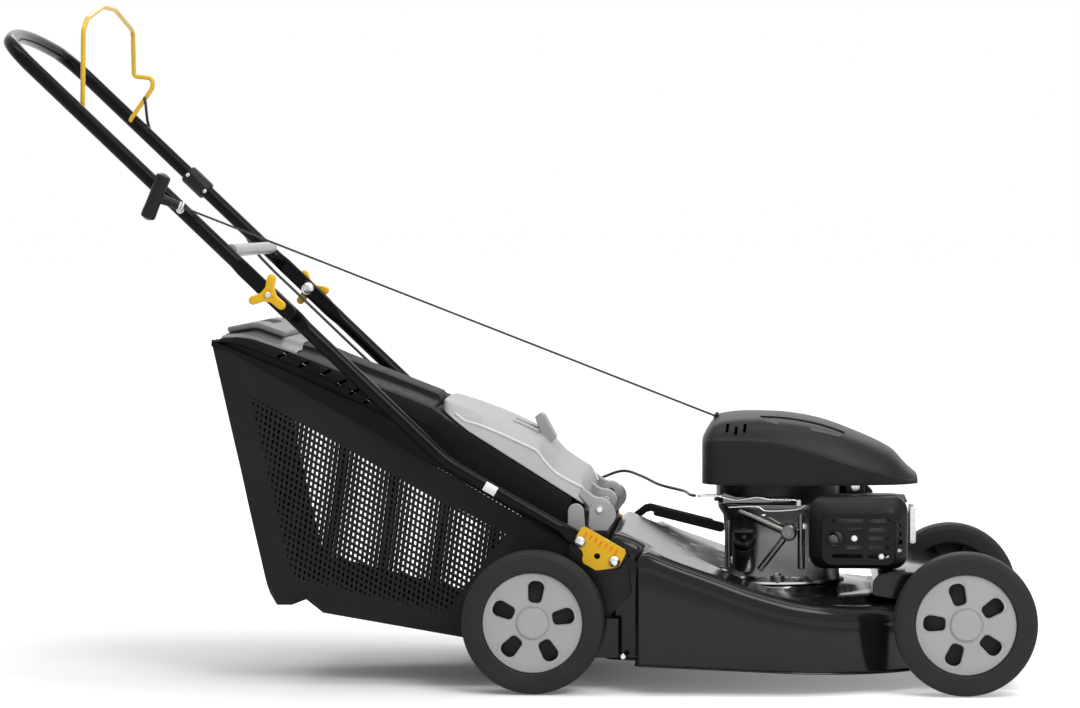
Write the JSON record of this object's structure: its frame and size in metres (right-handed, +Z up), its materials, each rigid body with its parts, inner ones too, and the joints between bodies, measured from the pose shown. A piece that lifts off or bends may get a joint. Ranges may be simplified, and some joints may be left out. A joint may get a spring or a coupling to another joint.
{
  "type": "petrol lawn mower",
  "caption": "Push lawn mower with a pressed steel deck, petrol engine, height lever, folding loop handle with a stop bail, and a rear flap and grass catcher.",
  "frame": {"origin": "on the ground at the centre of the object's box", "axes": "+X forward, +Y the operator's left, +Z up"},
  "size_m": [1.4753, 0.4906, 0.9713],
  "materials": {
    "gloss_black": "gloss",
    "satin_black": "satin",
    "bracket_black": "satin",
    "gloss_plastic": "gloss",
    "fabric_black": "matte",
    "rubber": "matte",
    "grey_plastic": "satin",
    "yellow": "satin",
    "yellow_metal": "satin",
    "cast_aluminium": "cast",
    "zinc_steel": "zinc plated"
  },
  "bodies": {
    "chassis": {"deck": "gloss_black", "rear_chute": "satin_black", "hinge_rod": "zinc_steel", "handle_bracket_left": "bracket_black", "handle_bracket_right": "bracket_black", "bracket_plate_left": "yellow", "bracket_plate_right": "yellow", "lower_tube_left": "gloss_black", "lower_tube_right": "gloss_black", "knob_bolt_left": "zinc_steel", "knob_bolt_right": "zinc_steel", "front_axle_cover": "gloss_plastic", "height_rack": "zinc_steel", "crankcase": "cast_aluminium", "cylinder_head": "cast_aluminium", "valve_cover": "cast_aluminium", "spark_plug": "satin_black", "carburettor": "cast_aluminium", "air_filter_box": "satin_black", "muffler": "zinc_steel", "muffler_guard": "bracket_black", "blower_housing": "satin_black", "engine_cowl": "satin_black", "fuel_tank": "satin_black", "governor_links": "zinc_steel", "stop_cable": "fabric_black", "starter_rope": "fabric_black"},
    "rear_crank": {"rear_axle": "zinc_steel"},
    "front_crank": {"front_axle": "zinc_steel"},
    "wheel_rear_right": {"tyre_rear_right": "rubber", "hub_rear_right": "grey_plastic"},
    "wheel_rear_left": {"tyre_rear_left": "rubber", "hub_rear_left": "grey_plastic"},
    "wheel_front_right": {"tyre_front_right": "rubber", "hub_front_right": "grey_plastic"},
    "wheel_front_left": {"tyre_front_left": "rubber", "hub_front_left": "grey_plastic"},
    "link": {"link_rod": "zinc_steel"},
    "lever": {"height_lever": "bracket_black"},
    "handle": {"upper_handle": "gloss_black", "rope_guide": "zinc_steel", "cable_clamp": "satin_black"},
    "bail": {"bail": "yellow_metal"},
    "brake": {"brake_lever": "zinc_steel"},
    "grip": {"starter_grip": "satin_black"},
    "pulley": {"starter_pulley": "satin_black"},
    "star_knob_left": {"knob_left": "yellow"},
    "star_knob_right": {"knob_right": "yellow"},
    "flap": {"flap": "grey_plastic"},
    "catcher": {"catcher_bag": "fabric_black", "catcher_lid": "satin_black", "catcher_handle": "grey_plastic"},
    "rotor": {"crankshaft": "zinc_steel", "flywheel": "cast_aluminium", "blade_adapter": "zinc_steel", "blade": "zinc_steel", "blade_bolt": "zinc_steel"},
    "fuel_cap": {"fuel_cap": "satin_black"},
    "dipstick": {"dipstick": "satin_black"}
  },
  "joints": [
    {"name": "rear_axle_swing", "type": "hinge", "parent": "chassis", "child": "rear_crank", "pos_m": [0.08935, 0, 0.08029], "axis": [0, -1, 0], "range_deg": [0, 42]},
    {"name": "front_axle_swing", "type": "hinge", "parent": "chassis", "child": "front_crank", "pos_m": [0.69135, 0, 0.08029], "axis": [0, -1, 0], "range_deg": [0, 42]},
    {"name": "link_swing", "type": "hinge", "parent": "rear_crank", "child": "link", "pos_m": [0.09866, 0.168, 0.10456], "axis": [0, 1, 0], "range_deg": [0, 42]},
    {"name": "height_lever_swing", "type": "hinge", "parent": "chassis", "child": "lever", "pos_m": [0.196, 0.2, 0.13056], "axis": [0, 1, 0], "range_deg": [0, 42]},
    {"name": "handle_fold", "type": "hinge", "parent": "chassis", "child": "handle", "pos_m": [-0.3345, 0, 0.556], "axis": [0, 1, 0], "range_deg": [0, 140], "deforming": ["stop_cable", "starter_rope"]},
    {"name": "bail_pull", "type": "hinge", "parent": "handle", "child": "bail", "pos_m": [-0.60245, 0, 0.81116], "axis": [0, -1, 0], "range_deg": [0, 40], "stiffness_Nm_per_rad": 0.6, "springref_deg": -20.05, "deforming": ["stop_cable"]},
    {"name": "brake_lever_swing", "type": "hinge", "parent": "chassis", "child": "brake", "pos_m": [0.2985, -0.066, 0.261], "axis": [0, 0, -1], "range_deg": [0, 25], "deforming": ["stop_cable"]},
    {"name": "starter_pull", "type": "slide", "parent": "handle", "child": "grip", "axis": [-0.9052, -0.2132, 0.3676], "range_m": [0, 0.5], "stiffness_N_per_m": 20, "springref_m": -0.4, "deforming": ["starter_rope"]},
    {"name": "starter_pulley_turn", "type": "hinge", "parent": "chassis", "child": "pulley", "pos_m": [0.3785, 0, 0.328], "axis": [0, 0, -1], "continuous": true},
    {"name": "knob_left_turn", "type": "hinge", "parent": "chassis", "child": "star_knob_left", "pos_m": [-0.3345, 0.2013, 0.556], "axis": [0, 1, 0], "continuous": true},
    {"name": "knob_right_turn", "type": "hinge", "parent": "chassis", "child": "star_knob_right", "pos_m": [-0.3345, -0.2013, 0.556], "axis": [0, -1, 0], "continuous": true},
    {"name": "flap_lift", "type": "hinge", "parent": "chassis", "child": "flap", "pos_m": [0.1275, 0, 0.252], "axis": [0, 1, 0], "range_deg": [0, 24], "stiffness_Nm_per_rad": 0.8, "springref_deg": -22.92},
    {"name": "catcher_lift_off", "type": "slide", "parent": "chassis", "child": "catcher", "axis": [-0.8461, 0, 0.5331], "range_m": [0, 0.3]},
    {"name": "crankshaft_turn", "type": "hinge", "parent": "chassis", "child": "rotor", "pos_m": [0.3785, 0, 0.264], "axis": [0, 0, 1], "continuous": true},
    {"name": "fuel_cap_turn", "type": "hinge", "parent": "chassis", "child": "fuel_cap", "pos_m": [0.4605, 0.078, 0.3345], "axis": [0, 0, 1], "range_deg": [0, 120]},
    {"name": "dipstick_turn", "type": "hinge", "parent": "chassis", "child": "dipstick", "pos_m": [0.3305, -0.09573, 0.19957], "axis": [0, -0.6157, 0.788], "range_deg": [0, 120]},
    {"name": "wheel_rear_right_roll", "type": "hinge", "parent": "rear_crank", "child": "wheel_rear_right", "pos_m": [0.038, -0.22, 0.1], "axis": [0, 1, 0], "continuous": true},
    {"name": "wheel_rear_left_roll", "type": "hinge", "parent": "rear_crank", "child": "wheel_rear_left", "pos_m": [0.038, 0.22, 0.1], "axis": [0, 1, 0], "continuous": true},
    {"name": "wheel_front_right_roll", "type": "hinge", "parent": "front_crank", "child": "wheel_front_right", "pos_m": [0.64, -0.22, 0.1], "axis": [0, 1, 0], "continuous": true},
    {"name": "wheel_front_left_roll", "type": "hinge", "parent": "front_crank", "child": "wheel_front_left", "pos_m": [0.64, 0.22, 0.1], "axis": [0, 1, 0], "continuous": true}
  ],
  "couplings": [
    {"joint": "front_axle_swing", "follows": "rear_axle_swing", "ratio": 1},
    {"joint": "height_lever_swing", "follows": "rear_axle_swing", "ratio": 1},
    {"joint": "link_swing", "follows": "rear_axle_swing", "ratio": 1},
    {"joint": "brake_lever_swing", "follows": "bail_pull", "ratio": 0.62},
    {"joint": "starter_pulley_turn", "follows": "starter_pull", "rad_per_m": 33.557}
  ]
}
